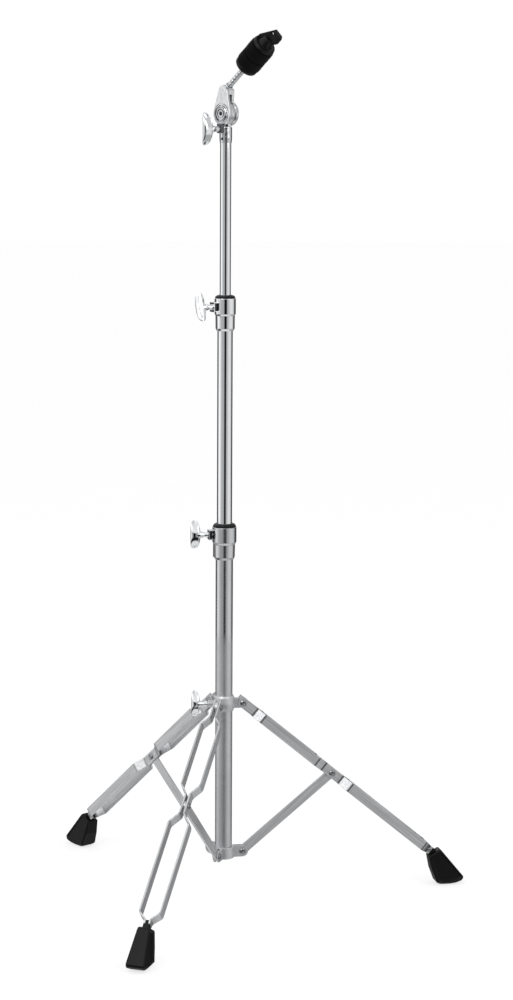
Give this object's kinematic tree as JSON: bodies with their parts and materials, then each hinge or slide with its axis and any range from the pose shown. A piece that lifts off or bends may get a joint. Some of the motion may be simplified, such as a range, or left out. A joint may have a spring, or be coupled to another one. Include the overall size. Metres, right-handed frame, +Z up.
{
  "type": "straight cymbal stand",
  "caption": "Folding double-braced tripod with telescoping tubes, bushed clamps, friction tilter and a cymbal rod with felts and wing nut.",
  "frame": {"origin": "on the floor, under the middle of the whole stand's bounding box", "axes": "+Z up along the pole; the picture looks along +Y, slightly from above; the right leg points 11 degrees from +X towards +Y"},
  "size_m": [0.619, 0.6428, 1.2675],
  "materials": {
    "chrome": "polished chrome plate",
    "satin_steel": "satin chrome plate",
    "plated_steel": "dull nickel plate on pressed strip",
    "dark_steel": "black oxide",
    "black_nylon": "moulded satin",
    "black_rubber": "moulded matte",
    "black_felt": "pressed wool felt"
  },
  "bodies": {
    "base": {"base_tube": "satin_steel", "base_tube_plug": "black_nylon", "lower_collar": "plated_steel", "lower_collar_screw": "plated_steel", "brace_right_pin": "plated_steel", "brace_rear_pin": "plated_steel", "brace_front_pin": "plated_steel", "base_clamp_sleeve": "chrome", "base_clamp_nut": "dark_steel"},
    "leg_collar": {"leg_collar": "plated_steel"},
    "leg_collar_wing": {"leg_collar_wing_bolt": "chrome"},
    "leg_right": {"leg_right_strip_a": "plated_steel", "leg_right_strip_b": "plated_steel", "leg_right_top_rivet": "plated_steel", "leg_right_mid_rivet_a": "plated_steel", "leg_right_mid_rivet_b": "plated_steel", "leg_right_end_rivet": "plated_steel", "foot_right_insert": "black_nylon", "foot_right": "black_rubber"},
    "leg_rear": {"leg_rear_strip_a": "plated_steel", "leg_rear_strip_b": "plated_steel", "leg_rear_top_rivet": "plated_steel", "leg_rear_mid_rivet_a": "plated_steel", "leg_rear_mid_rivet_b": "plated_steel", "leg_rear_end_rivet": "plated_steel", "foot_rear_insert": "black_nylon", "foot_rear": "black_rubber"},
    "leg_front": {"leg_front_strip_a": "plated_steel", "leg_front_strip_b": "plated_steel", "leg_front_top_rivet": "plated_steel", "leg_front_mid_rivet_a": "plated_steel", "leg_front_mid_rivet_b": "plated_steel", "leg_front_end_rivet": "plated_steel", "foot_front_insert": "black_nylon", "foot_front": "black_rubber"},
    "brace_right": {"brace_right": "plated_steel"},
    "brace_rear": {"brace_rear": "plated_steel"},
    "brace_front": {"brace_front": "plated_steel"},
    "base_clamp_wing": {"base_clamp_wing_bolt": "chrome"},
    "middle_turn": {"base_clamp_bushing": "black_nylon"},
    "middle": {"middle_tube": "chrome", "middle_clamp_sleeve": "chrome", "middle_clamp_nut": "dark_steel"},
    "middle_clamp_wing": {"middle_clamp_wing_bolt": "chrome"},
    "upper_turn": {"middle_clamp_bushing": "black_nylon"},
    "upper": {"upper_tube": "chrome", "tilter_body": "chrome", "tilter_set_screw": "dark_steel", "tilter_friction_disc_near": "dark_steel", "tilter_friction_disc_far": "dark_steel", "tilter_brake_shoe": "dark_steel"},
    "tilter_wing": {"tilter_wing_bolt": "chrome"},
    "arm": {"tilter_arm": "chrome", "tilter_pivot_bolt": "dark_steel", "cymbal_rod": "plated_steel", "seat_washer": "plated_steel"},
    "cymbal_seat": {"cymbal_sleeve": "black_nylon", "lower_felt": "black_felt", "upper_felt": "black_felt"},
    "wing_nut": {"cymbal_wing_nut": "black_nylon"}
  },
  "joints": [
    {"name": "leg_collar_slide", "type": "slide", "parent": "base", "child": "leg_collar", "axis": [0, 0, 1], "range_m": [0, 0.1243]},
    {"name": "leg_collar_wing_turn", "type": "hinge", "parent": "leg_collar", "child": "leg_collar_wing", "pos_m": [-0.05645, 0.03309, 0.29514], "axis": [-0.9848, -0.1736, 0], "range_deg": [0, 270]},
    {"name": "leg_right_fold", "type": "hinge", "parent": "leg_collar", "child": "leg_right", "pos_m": [-0.02848, 0.03852, 0.29514], "axis": [-0.1908, 0.9816, 0], "range_deg": [0, 42.3]},
    {"name": "leg_rear_fold", "type": "hinge", "parent": "leg_collar", "child": "leg_rear", "pos_m": [-0.07515, 0.0546, 0.29514], "axis": [-0.7547, -0.6561, 0], "range_deg": [0, 42.3]},
    {"name": "leg_front_fold", "type": "hinge", "parent": "leg_collar", "child": "leg_front", "pos_m": [-0.06573, 0.00614, 0.29514], "axis": [0.9455, -0.3256, 0], "range_deg": [0, 42.3]},
    {"name": "brace_right_fold", "type": "hinge", "parent": "base", "child": "brace_right", "pos_m": [-0.02848, 0.03852, 0.0679], "axis": [0.1908, -0.9816, 0], "range_deg": [0, 42.3]},
    {"name": "brace_rear_fold", "type": "hinge", "parent": "base", "child": "brace_rear", "pos_m": [-0.07515, 0.0546, 0.0679], "axis": [0.7547, 0.6561, 0], "range_deg": [0, 42.3]},
    {"name": "brace_front_fold", "type": "hinge", "parent": "base", "child": "brace_front", "pos_m": [-0.06573, 0.00614, 0.0679], "axis": [-0.9455, 0.3256, 0], "range_deg": [0, 42.3]},
    {"name": "base_clamp_wing_turn", "type": "hinge", "parent": "base", "child": "base_clamp_wing", "pos_m": [-0.05645, 0.03309, 0.5483], "axis": [-0.9848, -0.1736, 0], "range_deg": [0, 270]},
    {"name": "middle_tube_turn", "type": "hinge", "parent": "base", "child": "middle_turn", "pos_m": [-0.05645, 0.03309, 0.56], "axis": [0, 0, 1], "continuous": true},
    {"name": "middle_tube_slide", "type": "slide", "parent": "middle_turn", "child": "middle", "axis": [0, 0, 1], "range_m": [-0.279, 0.03]},
    {"name": "middle_clamp_wing_turn", "type": "hinge", "parent": "middle", "child": "middle_clamp_wing", "pos_m": [-0.05645, 0.03309, 0.8798], "axis": [-0.866, -0.5, 0], "range_deg": [0, 270]},
    {"name": "upper_tube_turn", "type": "hinge", "parent": "middle", "child": "upper_turn", "pos_m": [-0.05645, 0.03309, 0.892], "axis": [0, 0, 1], "continuous": true},
    {"name": "upper_tube_slide", "type": "slide", "parent": "upper_turn", "child": "upper", "axis": [0, 0, 1], "range_m": [-0.203, 0.03]},
    {"name": "tilter_wing_turn", "type": "hinge", "parent": "upper", "child": "tilter_wing", "pos_m": [-0.05645, 0.03309, 1.1312], "axis": [-0.7373, -0.6756, 0], "range_deg": [0, 270]},
    {"name": "tilter_tilt", "type": "hinge", "parent": "upper", "child": "arm", "pos_m": [-0.05645, 0.03309, 1.1527], "axis": [0.7373, 0.6756, 0], "range_deg": [-90, 44]},
    {"name": "cymbal_seat_spin", "type": "hinge", "parent": "arm", "child": "cymbal_seat", "pos_m": [-0.0548, 0.03129, 1.18762], "axis": [0.5349, -0.5837, 0.6108], "continuous": true},
    {"name": "wing_nut_turn", "type": "hinge", "parent": "arm", "child": "wing_nut", "pos_m": [-0.0548, 0.03129, 1.18762], "axis": [0.5349, -0.5837, 0.6108], "range_deg": [0, 270]}
  ],
  "couplings": [
    {"joint": "leg_right_fold", "follows": "leg_collar_slide", "rad_per_m": 5.9244},
    {"joint": "leg_rear_fold", "follows": "leg_collar_slide", "rad_per_m": 5.9244},
    {"joint": "leg_front_fold", "follows": "leg_collar_slide", "rad_per_m": 5.9244},
    {"joint": "brace_right_fold", "follows": "leg_collar_slide", "rad_per_m": 5.9244},
    {"joint": "brace_rear_fold", "follows": "leg_collar_slide", "rad_per_m": 5.9244},
    {"joint": "brace_front_fold", "follows": "leg_collar_slide", "rad_per_m": 5.9244}
  ]
}
